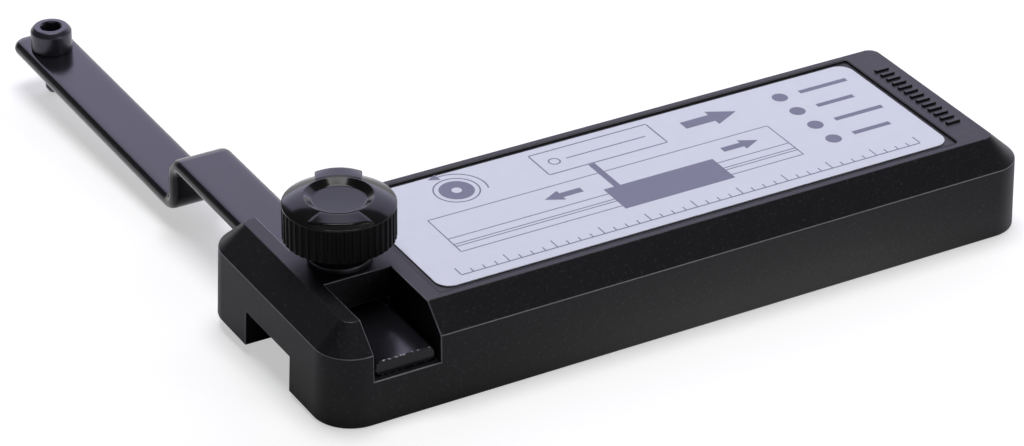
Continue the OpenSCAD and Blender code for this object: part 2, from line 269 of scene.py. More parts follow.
# Raised bars of the mould mark beyond the label
mark_x = (label_hi.x + recess_gap + half_l - lean - slope_in) / 2
mark_half_l = 1.5 * MM
mark_half_w = 0.4 * MM
mark_count = 13
mark_pitch = 2 * MM
bm = bmesh.new()
for i in range(mark_count):
    y = (i - (mark_count - 1) / 2) * mark_pitch
    low = (mark_x - mark_half_l, y - mark_half_w, body_top - mark_h)
    block(bm, low, (mark_x + mark_half_l, y + mark_half_w, body_top + mark_h))
combine(body, bm, "UNION")

# Rail groove through the whole length
bm = bmesh.new()
block(bm, (-half_l - past, -groove_half, -past), (half_l + past, groove_half, groove_z))
combine(body, bm)

# Cored pockets: a row in each foot, a row in the groove's roof, and two
# shallow ones under the bar channel
wall = 3 * MM
rib = 2 * MM
roof_t = 4.6 * MM
pocket_top = body_top - roof_t
pocket_count = 8
core_x0 = clamp_x + channel_half + wall
core_x1 = half_l - lean - wall
pitch = (core_x1 - core_x0 + rib) / pocket_count
side_y = (groove_half + rib, half_w - wall)
middle_y = 7 * MM
feet = bmesh.new()
roof = bmesh.new()
for i in range(pocket_count):
    x0 = core_x0 + i * pitch
    x1 = x0 + pitch - rib
    block(feet, (x0, side_y[0], -past), (x1, side_y[1], pocket_top))
    block(feet, (x0, -side_y[1], -past), (x1, -side_y[0], pocket_top))
    block(roof, (x0, -middle_y, groove_z - past), (x1, middle_y, pocket_top))
x0 = clamp_x - channel_half
x1 = clamp_x + channel_half
block(feet, (x0, side_y[0], -past), (x1, side_y[1], floor_z - wall))
block(feet, (x0, -side_y[1], -past), (x1, -side_y[0], floor_z - wall))
combine(body, feet)
combine(body, roof)

# Bar channel, open on both sides of the bridge, and the tunnel under it
bm = bmesh.new()
block(bm, (x0, bridge_half, floor_z), (x1, half_w + past, body_top + past))
block(bm, (x0, -half_w - past, floor_z), (x1, -bridge_half, body_top + past))
combine(body, bm)
bm = bmesh.new()
block(
    bm, (clamp_x - tunnel_half, -bridge_half - past, floor_z),
    (clamp_x + tunnel_half, bridge_half + past, tunnel_z)
)
combine(body, bm)


def rod(bm, x, y, z0, z1, radius, sides, taper=0):
    """An upright rod or cone, for cutting."""
    made = bmesh.ops.create_cone(
        bm, cap_ends=True, segments=sides, radius1=radius, radius2=radius + taper, depth=z1 - z0
    )["verts"]
    bmesh.ops.translate(bm, vec=(x, y, (z0 + z1) / 2), verts=made)


# Seat of the threaded insert and the clearance hole above it
insert_r = (insert_hi.x - insert_lo.x) / 2
clearance_r = 3.4 * MM
bores = ((insert_r, tunnel_z - past, insert_hi.z), (clearance_r, tunnel_z, body_top + past))
for radius, low, high in bores:
    bm = bmesh.new()
    rod(bm, clamp_x, 0, low, high, radius, 48)
    combine(body, bm)

# Recess for the label
bm = bmesh.new()
recess_lo = (label_lo.x - recess_gap, label_lo.y - recess_gap)
recess_hi = (label_hi.x + recess_gap, label_hi.y + recess_gap)
skin(bm, [
    plate_ring(recess_lo, recess_hi, recess_r, 0, z, 12) for z in (label_lo.z, body_top + past)
])
combine(body, bm)


corner_angle = math.radians(32)


def on_top_detail(a, b):
    """The rim of the recess and the bars of the mould mark."""
    high = max(a.z, b.z) > body_top - hair
    return high and min(a.x, b.x) > recess_lo[0] - 5 * hair and abs(a.y) < recess_hi[1] + 5 * hair


def on_main_edge(a, b):
    """Every other corner, apart from the mouths of the cored pockets and the insert's seat."""
    foot = max(a.z, b.z) < hair and min(abs(a.y), abs(b.y)) > groove_half + MM
    level = max(abs(a.z - groove_z), abs(b.z - groove_z)) < hair
    ceiling = level and max(abs(a.y), abs(b.y)) < middle_y + 0.5 * MM
    seat = abs(a.y) < bridge_half - MM and abs(a.x - clamp_x) < tunnel_half - MM
    on_mark = min(a.z, b.z) > body_top + hair / 2
    return not (foot or ceiling or seat or on_mark or on_top_detail(a, b))


def soften(piece, width, wanted, steps=2, slot=-1):
    """Rounds the wanted outer corners of a piece, as a mould or tumbling does."""
    bm = bmesh.new()
    bm.from_mesh(piece.data)
    edges = []
    for edge in bm.edges:
        sharp = len(edge.link_faces) == 2 and edge.calc_face_angle() > corner_angle
        if sharp and edge.is_convex and wanted(edge.verts[0].co, edge.verts[1].co):
            edges.append(edge)
    bmesh.ops.bevel(
        bm, geom=edges, offset=width, segments=steps, profile=0.5, affect="EDGES",
        clamp_overlap=False, material=slot
    )
    bm.to_mesh(piece.data)
    bm.free()


soften(body, 0.08 * MM, on_top_detail)
# The bevel faces of these corners take slot 1, the paler copy that paints their highlight lines
soften(body, 0.18 * MM, on_main_edge, 3, 1)

# The rounded belt line gets the painted highlight too: faces of the outer skin at that height, tilted up
for face in body.data.polygons:
    x = max(abs(face.center.x) - half_l + corner_r, 0)
    y = max(abs(face.center.y) - half_w + corner_r, 0)
    outside = math.hypot(x, y) > corner_r - MM
    if abs(face.center.z - belt_z) < 10 * hair and outside and 0.2 < face.normal.z < 0.55:
        face.material_index = 1


def finish_piece(piece, materials, rides_on, nodes=(), sharp=40):
    """Shades a piece, gives it its materials and ties it to its moving body."""
    for face in piece.data.polygons:
        face.use_smooth = True
    piece.data.set_sharp_from_angle(angle=math.radians(sharp))
    weight = piece.modifiers.new("weighted normals", "WEIGHTED_NORMAL")
    weight.keep_sharp = True
    slots = [face.material_index for face in piece.data.polygons]
    piece.data.materials.clear()
    for material in materials:
        piece.data.materials.append(material)
    for face, index in zip(piece.data.polygons, slots):
        face.material_index = min(index, len(materials) - 1)
    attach(piece, rides_on)
    if nodes:
        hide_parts(*nodes)


finish_piece(body, [nylon, corner_highlight], "block", ["adapter_body"])

# ---------------------------------------------------------------------------
# Instruction label: a sheet of satin polyester film with rounded corners,
# stuck down in the recess. Its ground is a pale blue grey.
# ---------------------------------------------------------------------------
# The film's clear face is smooth, with a faint mottle some 3 mm across
film = mottled(
    "satin_polyester_film", {"IOR": 1.5, "Specular IOR Level": 0.35}, 3 * MM, 3.0,
    ("#c6c9d5", "#ced1dc"), (0.42, 0.5)
)


def plate(bm, lo, hi, radius, edge, z0, z1):
    """A flat plate with round corners and softly rounded edges."""
    path = section((edge * 2, z0), (0, z0, edge), (0, z1, edge), (edge * 2, z1))
    skin(bm, [plate_ring(lo, hi, radius, inset, z, 12) for inset, z in path])


label_corner_r = 3 * MM
film_edge_r = 0.05 * MM
bm = bmesh.new()
plate(bm, label_lo[:2], label_hi[:2], label_corner_r, film_edge_r, label_lo.z, label_hi.z)
label = new_piece("label_film", bm)
finish_piece(label, [film], "block", ["top_label"])

# ---------------------------------------------------------------------------
# Label print: one pass of blue-grey screen ink on the film. It shows plain
# pictograms: a scale, a rail with a block on it, a knob and arrows.
# ---------------------------------------------------------------------------
# Screen ink dries satin, and its pigment varies a little in tone every 1.2 mm
ink = mottled(
    "screen_printed_ink", {"IOR": 1.5}, 1.2 * MM, 2.0, ("#62627c", "#6c6c86"), (0.45, 0.6)
)


def even(count):
    """Evenly spaced angles, once round."""
    return [2 * math.pi * i / count for i in range(count)]


ink_t = 0.02 * MM
print_x = (label_lo.x + label_hi.x) / 2
print_bm = bmesh.new()


def ink_shape(points):
    """Lays one flat shape of ink, given in mm from the label's centre."""
    low = [(print_x + x * MM, y * MM, label_hi.z - ink_t / 2) for x, y in points]
    high = [(x, y, z + ink_t) for x, y, z in low]
    skin(print_bm, [low, high])


def ink_line(x0, y0, x1, y1, width=0.45):
    """A straight line of ink."""
    along = Vector((x1 - x0, y1 - y0)).normalized() * width / 2
    across = Vector((-along.y, along.x))
    ink_shape([
        (x0 - across.x, y0 - across.y), (x1 - across.x, y1 - across.y),
        (x1 + across.x, y1 + across.y), (x0 + across.x, y0 + across.y)
    ])


def ink_arc(x, y, radius, start, end, width=0.45, steps=40):
    """A curved line of ink between two angles in degrees."""
    for i in range(steps):
        a = math.radians(start + (end - start) * i / steps)
        b = math.radians(start + (end - start) * (i + 1) / steps)
        inner, outer = radius - width / 2, radius + width / 2
        ink_shape([
            (x + inner * math.cos(a), y + inner * math.sin(a)),
            (x + outer * math.cos(a), y + outer * math.sin(a)),
            (x + outer * math.cos(b), y + outer * math.sin(b)),
            (x + inner * math.cos(b), y + inner * math.sin(b))
        ])


def ink_arrow(x, y, length, turn, stem=1.6, head=3.6):
    """A solid arrow, starting at (x, y) and pointing along turn in degrees."""
    flat = [
        (0, -stem / 2), (length - head, -stem / 2), (length - head, -head / 2), (length, 0),
        (length - head, head / 2), (length - head, stem / 2), (0, stem / 2)
    ]
    c, s = math.cos(math.radians(turn)), math.sin(math.radians(turn))
    ink_shape([(x + u * c - v * s, y + u * s + v * c) for u, v in flat])


# Scale along one long edge: a tick every 2.5 mm, longer every 10 mm
ink_line(-50, -15.5, 50, -15.5, 0.3)
for i in range(41):
    x = -50 + 2.5 * i
    tick = 2.6 if i % 4 == 0 else 1.3
    ink_line(x, -15.35, x, -15.5 + tick, 0.25)

# Rail seen from above, with the block astride it and arrows both ways
rail_x0 = -46
rail_x1 = 28
rail_y0 = -8.4
rail_y1 = 4.2
block_x = 12
thin = 0.25
for y in (rail_y0, -6.4, -5.6, -3.4):
    ink_line(rail_x0, y, -block_x, y, thin)
    ink_line(block_x, y, rail_x1, y, thin)
ink_line(rail_x0, rail_y1, -9.7, rail_y1, thin)
ink_line(-8.3, rail_y1, rail_x1, rail_y1, thin)
for x in (rail_x0 - 0.1, rail_x1 + 0.1):
    ink_line(x, rail_y0, x, rail_y1, thin)
ink_shape([(-block_x, -9.6), (block_x, -9.6), (block_x, -1.6), (-block_x, -1.6)])
ink_arrow(15.5, 0.4, 8, 0)
ink_arrow(-15.5, 0.4, 8, 180)

# Base plate of a saw, carried on the bar
ink_line(-9, -1.6, -9, 7.8, 1.4)
for x0, y0, x1, y1 in ((-18, 8, 8, 8), (-18, 16, 8, 16), (-18, 8.2, -18, 15.8), (8, 8.2, 8, 15.8)):
    ink_line(x0, y0, x1, y1, 0.3)
ink_line(-12, 12, 5.5, 12, 0.3)
ink_arc(-14.6, 12, 1.1, 0, 360, 0.3, 24)

# Thumb screw with its direction of turning
for radius, start, end, width in ((4.4, 0, 360, 0.3), (2.2, 0, 360, 2.4), (6, -20, 94, 0.3)):
    ink_arc(-36, 11.4, radius, start, end, width)
ink_arrow(-36.4, 17.38, 2.6, 184, 0.3, 2.2)

# Four rows of plain dots and bars, every other bar shorter, and a broad arrow towards them
dot_r = 1.6
bar_half = 0.6
for i in range(4):
    y = 12.5 - 6.2 * i
    stop = 52 - 2.5 * (i % 2)
    ink_shape([(36.5 + dot_r * math.cos(a), y + dot_r * math.sin(a)) for a in even(28)])
    ink_shape([(41, y - bar_half), (stop, y - bar_half), (stop, y + bar_half), (41, y + bar_half)])
ink_arrow(14, 12, 12, 0, 2.6, 5.5)

printing = new_piece("label_ink", print_bm)
finish_piece(printing, [ink], "block")

# ---------------------------------------------------------------------------
# Threaded insert: a turned brass bush with two knurled bands, pressed into
# the bridge from below before the bar goes in.
# ---------------------------------------------------------------------------
# Turned brass: rings left by the tool, finer than 0.1 mm. They are drawn 1.3 mm apart to
# show, as the wave repeats a little over three times in each 4 mm of its scale
brass, tree, shader = new_material("turned_brass", {"Metallic": 1.0})
place = add(tree, "ShaderNodeTexCoord", {})
rings = add(tree, "ShaderNodeTexWave", {"bands_direction": "Z", "Scale": 1 / (4 * MM), "Distortion": 0.5},
            [("Vector", place, "Object")])
tone = add(tree, "ShaderNodeMix", {"data_type": "RGBA", 6: linear("#b08d57"), 7: linear("#c2a066")},
           [("Factor", rings, "Fac")])
gloss = add(tree, "ShaderNodeMapRange", {"To Min": 0.25, "To Max": 0.4}, [("Value", rings, "Fac")])
tree.links.new(tone.outputs[2], shader.inputs["Base Color"])
tree.links.new(gloss.outputs["Result"], shader.inputs["Roughness"])


def turn(bm, outline, x, y, angles, shape=None):
    """Turns an outline of (radius, height) points about an upright axis.

    An outline that starts and ends on the axis is closed there; any other is a ring.
    shape(angle, radius, height) may change a point's radius, for flutes or a thread."""
    rows = []
    for radius, z in outline:
        if radius < 1e-7:
            rows.append([bm.verts.new((x, y, z))])
            continue
        row = []
        for a in angles:
            r = shape(a, radius, z) if shape else radius
            row.append(bm.verts.new((x + r * math.cos(a), y + r * math.sin(a), z)))
        rows.append(row)
    pairs = list(zip(rows, rows[1:]))
    if len(rows[0]) > 1:
        pairs.append((rows[-1], rows[0]))
    for low, high in pairs:
        for i in range(len(angles)):
            j = (i + 1) % len(angles)
            ring = [low[i % len(low)], low[j % len(low)], high[j % len(high)], high[i % len(high)]]
            corners = list(dict.fromkeys(ring))
            if len(corners) > 2:
                bm.faces.new(corners)


bore_r = 3.05 * MM
middle = (insert_lo.z + insert_hi.z) / 2
waist_r = insert_r - 0.35 * MM
waist_half = 0.6 * MM
lead_in = 0.3 * MM
top_chamfer = 0.2 * MM
knurl_teeth = 28
knurl_depth = 0.12 * MM


def knurl(angle, radius, z):
    """Radius with round teeth cut into the two bands, and the waist left plain."""
    if radius < insert_r - 0.05 * MM:
        return radius
    return radius - knurl_depth * (0.5 - 0.5 * math.cos(knurl_teeth * angle))


bm = bmesh.new()
turn(bm, [
    (bore_r, insert_lo.z), (insert_r - lead_in, insert_lo.z), (insert_r, insert_lo.z + lead_in),
    (insert_r, middle - waist_half), (waist_r, middle - waist_half),
    (waist_r, middle + waist_half), (insert_r, middle + waist_half),
    (insert_r, insert_hi.z - top_chamfer), (insert_r - top_chamfer, insert_hi.z), (bore_r, insert_hi.z)
], clamp_x, 0, even(6 * knurl_teeth), knurl)
bush = new_piece("brass_insert", bm)
finish_piece(bush, [brass], "block", ["thread_insert"])

# ---------------------------------------------------------------------------
# Rule bar: round-edged flat steel cut to length, cranked in a press and
# given a thin black coating. It lies in the channel under the thumb screw.
# ---------------------------------------------------------------------------
# Black coating over rolled steel: smooth, with a faint orange peel of 1 mm
coated, tree, shader = new_material(
    "black_coated_steel", {"IOR": 1.5, "Specular IOR Level": 0.38}
)
place = add(tree, "ShaderNodeTexCoord", {})
peel = add(tree, "ShaderNodeTexNoise", {"Scale": 1 / (1 * MM), "Detail": 2.0},
           [("Vector", place, "Object")])
drift = add(tree, "ShaderNodeTexNoise", {"Scale": 1 / (25 * MM), "Detail": 2.0},
            [("Vector", place, "Object")])
tone = add(tree, "ShaderNodeMix", {"data_type": "RGBA", 6: linear("#151418"), 7: linear("#1b1a1f")},
           [("Factor", drift, "Fac")])
gloss = add(tree, "ShaderNodeMapRange", {"To Min": 0.15, "To Max": 0.22},
            [("Value", peel, "Fac")])
relief = add(tree, "ShaderNodeBump", {"Strength": 0.1, "Distance": 0.02 * MM},
             [("Height", peel, "Fac")])
tree.links.new(tone.outputs[2], shader.inputs["Base Color"])
tree.links.new(gloss.outputs["Result"], shader.inputs["Roughness"])
tree.links.new(relief.outputs["Normal"], shader.inputs["Normal"])

outer_bend = 5 * MM
bend = outer_bend - bar_t / 2
riser_y = 58.4 * MM
end_r = 3.1 * MM
edge_r = 1.46 * MM
burr = 0.2 * MM
bend_cuts = 10
quarter = bend * math.pi / 2
riser_l = (bar_hi.z - outer_bend) - (bar_lo.z + outer_bend)
first_l = riser_y + bar_t - outer_bend - bar_lo.y
# Lengths along the flat blank at which it is straight, bends, rises, bends back and runs out
stops = [first_l]
for step in (quarter, riser_l, quarter, bar_hi.y - riser_y - outer_bend):
    stops.append(stops[-1] + step)


def crank(s, t):
    """Where a point of the flat blank goes once it is bent: s along it, t up from its lower face."""
    up = t - bar_t / 2
    top = bar_hi.z - bar_t / 2
    low = bar_lo.z + bar_t / 2
    y1 = bar_lo.y + stops[0]
    if s < stops[0]:
        return bar_lo.y + s, top + up
    if s < stops[1]:
        a = (s - stops[0]) / bend
        return y1 + (bend + up) * math.sin(a), top - bend + (bend + up) * math.cos(a)
    if s < stops[2]:
        return y1 + bend + up, top - bend - (s - stops[1])
    y2 = y1 + 2 * bend
    if s < stops[3]:
        a = (s - stops[2]) / bend
        return y2 - (bend - up) * math.cos(a), low + bend - (bend - up) * math.sin(a)
    return y2 + s - stops[3], low + up


# Burr of the sheared end: specks of pale metal, 0.7 mm across, paint its highlight
burr_highlight, tree, shader = new_material("coating_chipped_to_bare_steel", {"Metallic": 0.8})
place = add(tree, "ShaderNodeTexCoord", {})
highlight_specks = add(tree, "ShaderNodeTexNoise", {"Scale": 1 / (0.7 * MM), "Detail": 1.0},
            [("Vector", place, "Object")])
highlight_specks = add(tree, "ShaderNodeMapRange", {"From Min": 0.5, "From Max": 0.65}, [("Value", highlight_specks, "Fac")])
tone = add(tree, "ShaderNodeMix", {"data_type": "RGBA", 6: linear("#1b1a1f"), 7: linear("#8e8c94")},
           [("Factor", highlight_specks, "Result")])
tree.links.new(tone.outputs[2], shader.inputs["Base Color"])
shader.inputs["Roughness"].default_value = 0.35

# Blank with a round far end; its clamped end is sheared off square, with a small burr left
bm = bmesh.new()
plate(bm, (bar_lo.x, -2 * past), (bar_hi.x, stops[4]), end_r, edge_r, 0, bar_t)
bmesh.ops.bisect_plane(
    bm, geom=bm.verts[:] + bm.edges[:] + bm.faces[:], plane_co=(0, 0, 0), plane_no=(0, -1, 0),
    clear_outer=True
)
sheared = [edge for edge in bm.edges if edge.is_boundary]
bmesh.ops.edgeloop_fill(bm, edges=sheared)
# The burr's bevel takes slot 1, the pale specks that paint its highlight
bmesh.ops.bevel(
    bm, geom=sheared, offset=burr, segments=2, profile=0.5, affect="EDGES",
    clamp_overlap=False, material=1
)
cuts = [start + quarter * i / bend_cuts for start in (stops[0], stops[2]) for i in range(bend_cuts + 1)]
for s in cuts:
    everything = bm.verts[:] + bm.edges[:] + bm.faces[:]
    bmesh.ops.bisect_plane(bm, geom=everything, plane_co=(0, s, 0), plane_no=(0, 1, 0))
for vert in bm.verts:
    y, z = crank(vert.co.y, vert.co.z)
    vert.co.y = y
    vert.co.z = z
bar = new_piece("rule_bar_steel", bm)

# Tapped hole for the cap screw
screw_lo, screw_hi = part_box("cap_screw")
screw_x = (screw_lo.x + screw_hi.x) / 2
screw_y = (screw_lo.y + screw_hi.y) / 2
tapped_r = 2.5 * MM
bm = bmesh.new()
rod(bm, screw_x, screw_y, bar_lo.z - past, bar_lo.z + past, tapped_r, 48)
combine(bar, bm)
finish_piece(bar, [coated, burr_highlight], "bar", ["rule_bar"])

# ---------------------------------------------------------------------------
# Cap screw: M5 socket head screw in blackened alloy steel, with a plain dog
# point turned on its end. It is screwed home in the far end of the bar.
# ---------------------------------------------------------------------------
# Black oxide over forged and rolled steel: dark metal with a light bloom
oxide = mottled(
    "black_oxide_steel", {"Metallic": 0.6}, 0.8 * MM, 3.0, ("#36353d", "#46444e"), (0.25, 0.38)
)


def thread(major, pitch, top):
    """Radius of a V thread of that size below top; it runs out at each end."""
    depth = 0.6 * pitch

    def shape(angle, radius, z):
        if radius < major - depth or z > top:
            return radius
        phase = (z / pitch - angle / (2 * math.pi)) % 1
        valley = depth * (1 - min(1, abs(phase - 0.5) * 2 / 0.85))
        return min(radius, major - valley)
    return shape


def stack(radius, z0, z1, step):
    """Points up the side of a shank, close enough to draw its thread."""
    count = max(1, round((z1 - z0) / step))
    return [(radius, z0 + (z1 - z0) * i / count) for i in range(1, count + 1)]


head_r = (screw_hi.x - screw_lo.x) / 2
seat_z = bar_lo.z + bar_t
head_round = 0.9 * MM
crown_in = 0.75 * MM
dog_r = 1.75 * MM
dog_top = screw_lo.z + 3 * MM
dog_chamfer = 0.6 * MM
neck_h = 0.7 * MM
thread_r = 2.48 * MM
m5_pitch = 0.8 * MM
socket_depth = 2.5 * MM
socket_half = 2 * MM
mouth = 0.35 * MM
lower = section(
    (0, screw_lo.z), (dog_r - dog_chamfer, screw_lo.z, 0.15 * MM),
    (dog_r, screw_lo.z + MM, 0.3 * MM), (dog_r, dog_top), steps=3
)
shank = [(dog_r, dog_top), (thread_r, dog_top + neck_h)]
shank += stack(thread_r, dog_top + neck_h, seat_z - hair, m5_pitch / 10)
head = section(
    (thread_r, seat_z), (head_r, seat_z, 0.15 * MM), (head_r, screw_hi.z - head_round, 0.8 * MM),
    (head_r - crown_in, screw_hi.z, 0.5 * MM), (0, screw_hi.z), steps=5
)
bm = bmesh.new()
turn(
    bm, lower[:-1] + shank + head, screw_x, screw_y, even(96),
    thread(thread_r, m5_pitch, bar_lo.z + m5_pitch / 2)
)
cap_screw = new_piece("cap_screw_steel", bm)

# Hex socket with a conical mouth. A hexagon's corners stand further out than its flats
flat_to_corner = math.cos(math.radians(30))
bm = bmesh.new()
rod(bm, screw_x, screw_y, screw_hi.z - socket_depth, screw_hi.z + MM, socket_half / flat_to_corner, 6)
combine(cap_screw, bm)
bm = bmesh.new()
rod(bm, screw_x, screw_y, screw_hi.z - mouth, screw_hi.z + mouth, socket_half, 48, 2 * mouth)
combine(cap_screw, bm)
finish_piece(cap_screw, [oxide], "bar", ["cap_screw"], sharp=28)

# ---------------------------------------------------------------------------
# Flat washer: stamped from strip, rounded on the upper edge by the punch and
# zinc plated black. It lies loose on the bridge under the knob's hub.
# ---------------------------------------------------------------------------
# Black zinc plating: dark satin metal with fine tumbling marks
plated = mottled(
    "black_zinc_plate", {"Metallic": 0.9}, 0.6 * MM, 4.0, ("#38373c", "#4c4b52"), (0.3, 0.45)
)

washer_r = (washer_hi.x - washer_lo.x) / 2
hole_r = 3.4 * MM
ring = section(
    (hole_r, washer_lo.z), (washer_r, washer_lo.z, 0.1 * MM), (washer_r, washer_hi.z, 0.35 * MM),
    (hole_r, washer_hi.z, 0.3 * MM), (hole_r, washer_lo.z)
)
bm = bmesh.new()
turn(bm, ring[:-1], clamp_x, 0, even(96))
washer = new_piece("flat_washer_steel", bm)
finish_piece(washer, [plated], "washer", ["flat_washer"])

# ---------------------------------------------------------------------------
# Clamp screw: M6 steel screw with a hex head, moulded into the knob. Its
# rolled thread runs in the brass insert and its tip presses on the bar.
# ---------------------------------------------------------------------------
# Bright zinc on a rolled thread: pale metal whose gloss varies a little every 0.7 mm
zinc = mottled(
    "bright_zinc_plate", {"Metallic": 1.0}, 0.7 * MM, 3.0, ("#8b8c92", "#a3a4aa"), (0.25, 0.4)
)

stud_lo, stud_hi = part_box("clamp_screw")
knob_lo, knob_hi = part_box("clamp_knob")
stud_r = 3 * MM
stud_head_h = 4 * MM
stud_head_half = 5 * MM
stud_top = stud_hi.z - stud_head_h
point_h = 0.8 * MM
m6_pitch = 1 * MM
tip = section(
    (0, stud_lo.z), (stud_r - point_h, stud_lo.z, 0.15 * MM),
    (stud_r, stud_lo.z + point_h, 0.1 * MM), (stud_r, stud_lo.z + MM), steps=3
)
shank = stack(stud_r, stud_lo.z + MM, stud_top, m6_pitch / 10)
bm = bmesh.new()
turn(
    bm, tip + shank + [(0, stud_top)], clamp_x, 0, even(72), thread(stud_r, m6_pitch, knob_lo.z + MM)
)
stud = new_piece("clamp_screw_steel", bm)
bm = bmesh.new()
rod(bm, clamp_x, 0, stud_top - 5 * hair, stud_hi.z, stud_head_half / flat_to_corner, 6)
combine(stud, bm, "UNION")
finish_piece(stud, [zinc], "thumb_screw", ["clamp_screw"], sharp=28)

# ---------------------------------------------------------------------------
# Clamp knob: moulded over the screw's head in glossy black plastic, with a
# fluted side, a domed ring round a shallow well, and two lugs for the fingers.
# ---------------------------------------------------------------------------
# Polished mould face: glossy, with a faint waviness some 2 mm across
glossy = mottled(
    "polished_black_plastic", {"IOR": 1.52, "Specular IOR Level": 0.2}, 2 * MM, 2.0,
    ("#0e0e0f", "#131314"), (0.1, 0.16), relief=(0.12, 0.04 * MM)
)

# Fluted side and hub: left matt by the spark that cut the flutes in the mould, 0.4 mm grains, and painted
# darker than the polished top as their shade
matt_shaded_plastic = mottled(
    "spark_eroded_black_plastic", {"IOR": 1.52, "Specular IOR Level": 0.1}, 0.4 * MM, 2.0,
    ("#070707", "#0c0c0c"), (0.36, 0.5)
)

knob_r = 10.4 * MM
hub_r = 5.9 * MM
hub_h = 3.5 * MM
side_h = 6.9 * MM
side_z = knob_lo.z + hub_h
side_chamfer = 0.2 * MM
rim_z = side_z + side_h
polished_z = rim_z - 0.2 * MM
crown_z = knob_hi.z
dome_r = 14 * MM
dome_steps = 12
well_z = crown_z - 1 * MM
well_r = 6.4 * MM
well_floor_r = 4.9 * MM
plain_band = 0.3 * MM
flute_top = rim_z - plain_band
flutes = 44
flute_r = 0.5 * MM
flute_depth = 0.35 * MM
flute_pitch = 2 * math.pi / flutes
knob_turn = math.radians(-27)


def flute(angle, radius, z):
    """Radius of the fluted side: a round groove at each pitch, below the plain band."""
    if z > flute_top or radius < hub_r + MM:
        return radius
    off = ((angle / flute_pitch + 0.5) % 1 - 0.5) * flute_pitch * knob_r
    if abs(off) >= flute_r:
        return radius
    cut = knob_r + flute_r - flute_depth - math.sqrt(flute_r ** 2 - off ** 2)
    return min(radius, cut)


# Where the points round the side stand at each flute, in mm from its middle
offsets = [-0.7425, -0.61, -0.478, -0.42, -0.33, -0.2, -0.07, 0.07, 0.2, 0.33, 0.42, 0.478, 0.61]
knob_angles = []
for i in range(flutes):
    knob_angles += [i * flute_pitch + offset * MM / knob_r for offset in offsets]

under = section(
    (0, knob_lo.z), (hub_r, knob_lo.z, 0.35 * MM), (hub_r, side_z, 0.4 * MM),
    (knob_r - side_chamfer, side_z, 0.06 * MM), (knob_r, side_z + side_chamfer, 0.06 * MM),
    (knob_r, side_z + 1.5 * MM)
)
side = [(knob_r, flute_top - hair)]

# The domed top is an arc from the lip up to the rim of the well
lip = Vector((knob_r, rim_z))
crest = Vector((well_r, crown_z))
chord = crest - lip
below = math.sqrt(dome_r ** 2 - chord.length_squared / 4)
centre = (lip + crest) / 2 - Vector((chord.y, -chord.x)).normalized() * below
first = math.atan2(lip.y - centre.y, lip.x - centre.x)
last = math.atan2(crest.y - centre.y, crest.x - centre.x)
dome = []
for i in range(1, dome_steps):
    a = first + (last - first) * i / dome_steps
    dome.append((centre.x + dome_r * math.cos(a), centre.y + dome_r * math.sin(a)))
rim = section((knob_r, flute_top + hair), (knob_r, rim_z, 0.12 * MM), dome[0])
well = section(
    dome[-1], (well_r, crown_z, 0.35 * MM), (well_floor_r, well_z, 0.9 * MM), (0, well_z), steps=5
)
bm = bmesh.new()
turn(bm, under + side + rim + dome[1:-1] + well, clamp_x, 0, knob_angles, flute)
knob = new_piece("clamp_knob_moulding", bm)


def lug(bm, heading, inner_half, outer_half, end_h, back, flare, crown):
    """One finger lug: its top slopes down from the rim of the well and is crowned across.

    end_h is the height of its outer end above the rim, back how far that end lies in from
    the knob's edge, flare how far the foot spreads, and crown how far the top's sides fall."""
    across, along = 14, 6
    gap = 0.3 * MM
    sunk = 2 * hair
    c, s = math.cos(heading), math.sin(heading)
    layers = []
    for level in (0, 1):
        rows = []
        inner = (well_r + gap, inner_half + (0 if level else flare / 2))
        outer = (knob_r - (back if level else 2 * sunk), outer_half + (0 if level else flare))
        for j in range(along + 1):
            f = j / along
            row = []
            for i in range(across + 1):
                u = 2 * i / across - 1
                x = u * (inner[1] + (outer[1] - inner[1]) * f)
                near_y = math.sqrt(inner[0] ** 2 - (u * inner[1]) ** 2)
                far_y = math.sqrt(outer[0] ** 2 - (u * outer[1]) ** 2)
                y = near_y + (far_y - near_y) * f
                top = crown_z - (crown_z - rim_z - end_h) * f - crown * (u * f) ** 2
                z = top if level else rim_z - sunk
                row.append(bm.verts.new((clamp_x + y * c + x * s, y * s - x * c, z)))
            rows.append(row)
        layers.append(rows)
        for j in range(along):
            for i in range(across):
                bm.faces.new((rows[j][i], rows[j][i + 1], rows[j + 1][i + 1], rows[j + 1][i]))
    low, high = layers
    edge = [(0, i) for i in range(across + 1)] + [(j, across) for j in range(1, along + 1)]
    edge += [(along, i) for i in range(across - 1, -1, -1)] + [(j, 0) for j in range(along - 1, 0, -1)]
    for (j0, i0), (j1, i1) in zip(edge, edge[1:] + edge[:1]):
        bm.faces.new((low[j0][i0], low[j1][i1], high[j1][i1], high[j0][i0]))


# One lug is straight-sided, and the other, across the well from it, spreads like a fan
straight = {
    "heading": knob_turn + math.pi / 2, "inner_half": 4.3 * MM, "outer_half": 4.3 * MM,
    "end_h": 1.35 * MM, "back": 0.15 * MM, "flare": 0.05 * MM, "crown": 0.3 * MM
}
fan = {
    "heading": knob_turn - math.pi / 2, "inner_half": 3.4 * MM, "outer_half": 5.9 * MM,
    "end_h": 1.2 * MM, "back": 0.3 * MM, "flare": 0.4 * MM, "crown": 0.6 * MM
}
lug_edge_r = 0.2 * MM
for lug_sizes in (straight, fan):
    bm = bmesh.new()
    lug(bm, **lug_sizes)
    bmesh.ops.recalc_face_normals(bm, faces=bm.faces)
    rims = [e for e in bm.edges if e.calc_face_angle() > corner_angle and e.is_convex]
    rims = [e for e in rims if max(v.co.z for v in e.verts) > rim_z]
    bmesh.ops.bevel(
        bm, geom=rims, offset=lug_edge_r, segments=3, profile=0.5, affect="EDGES", clamp_overlap=False
    )
    combine(knob, bm, "UNION")
# Faces below the polished band take the darker matt copy, which paints the shade of the side and hub
for face in knob.data.polygons:
    face.material_index = 1 if face.center.z < polished_z else 0
finish_piece(knob, [glossy, matt_shaded_plastic], "thumb_screw", ["clamp_knob"], sharp=35)

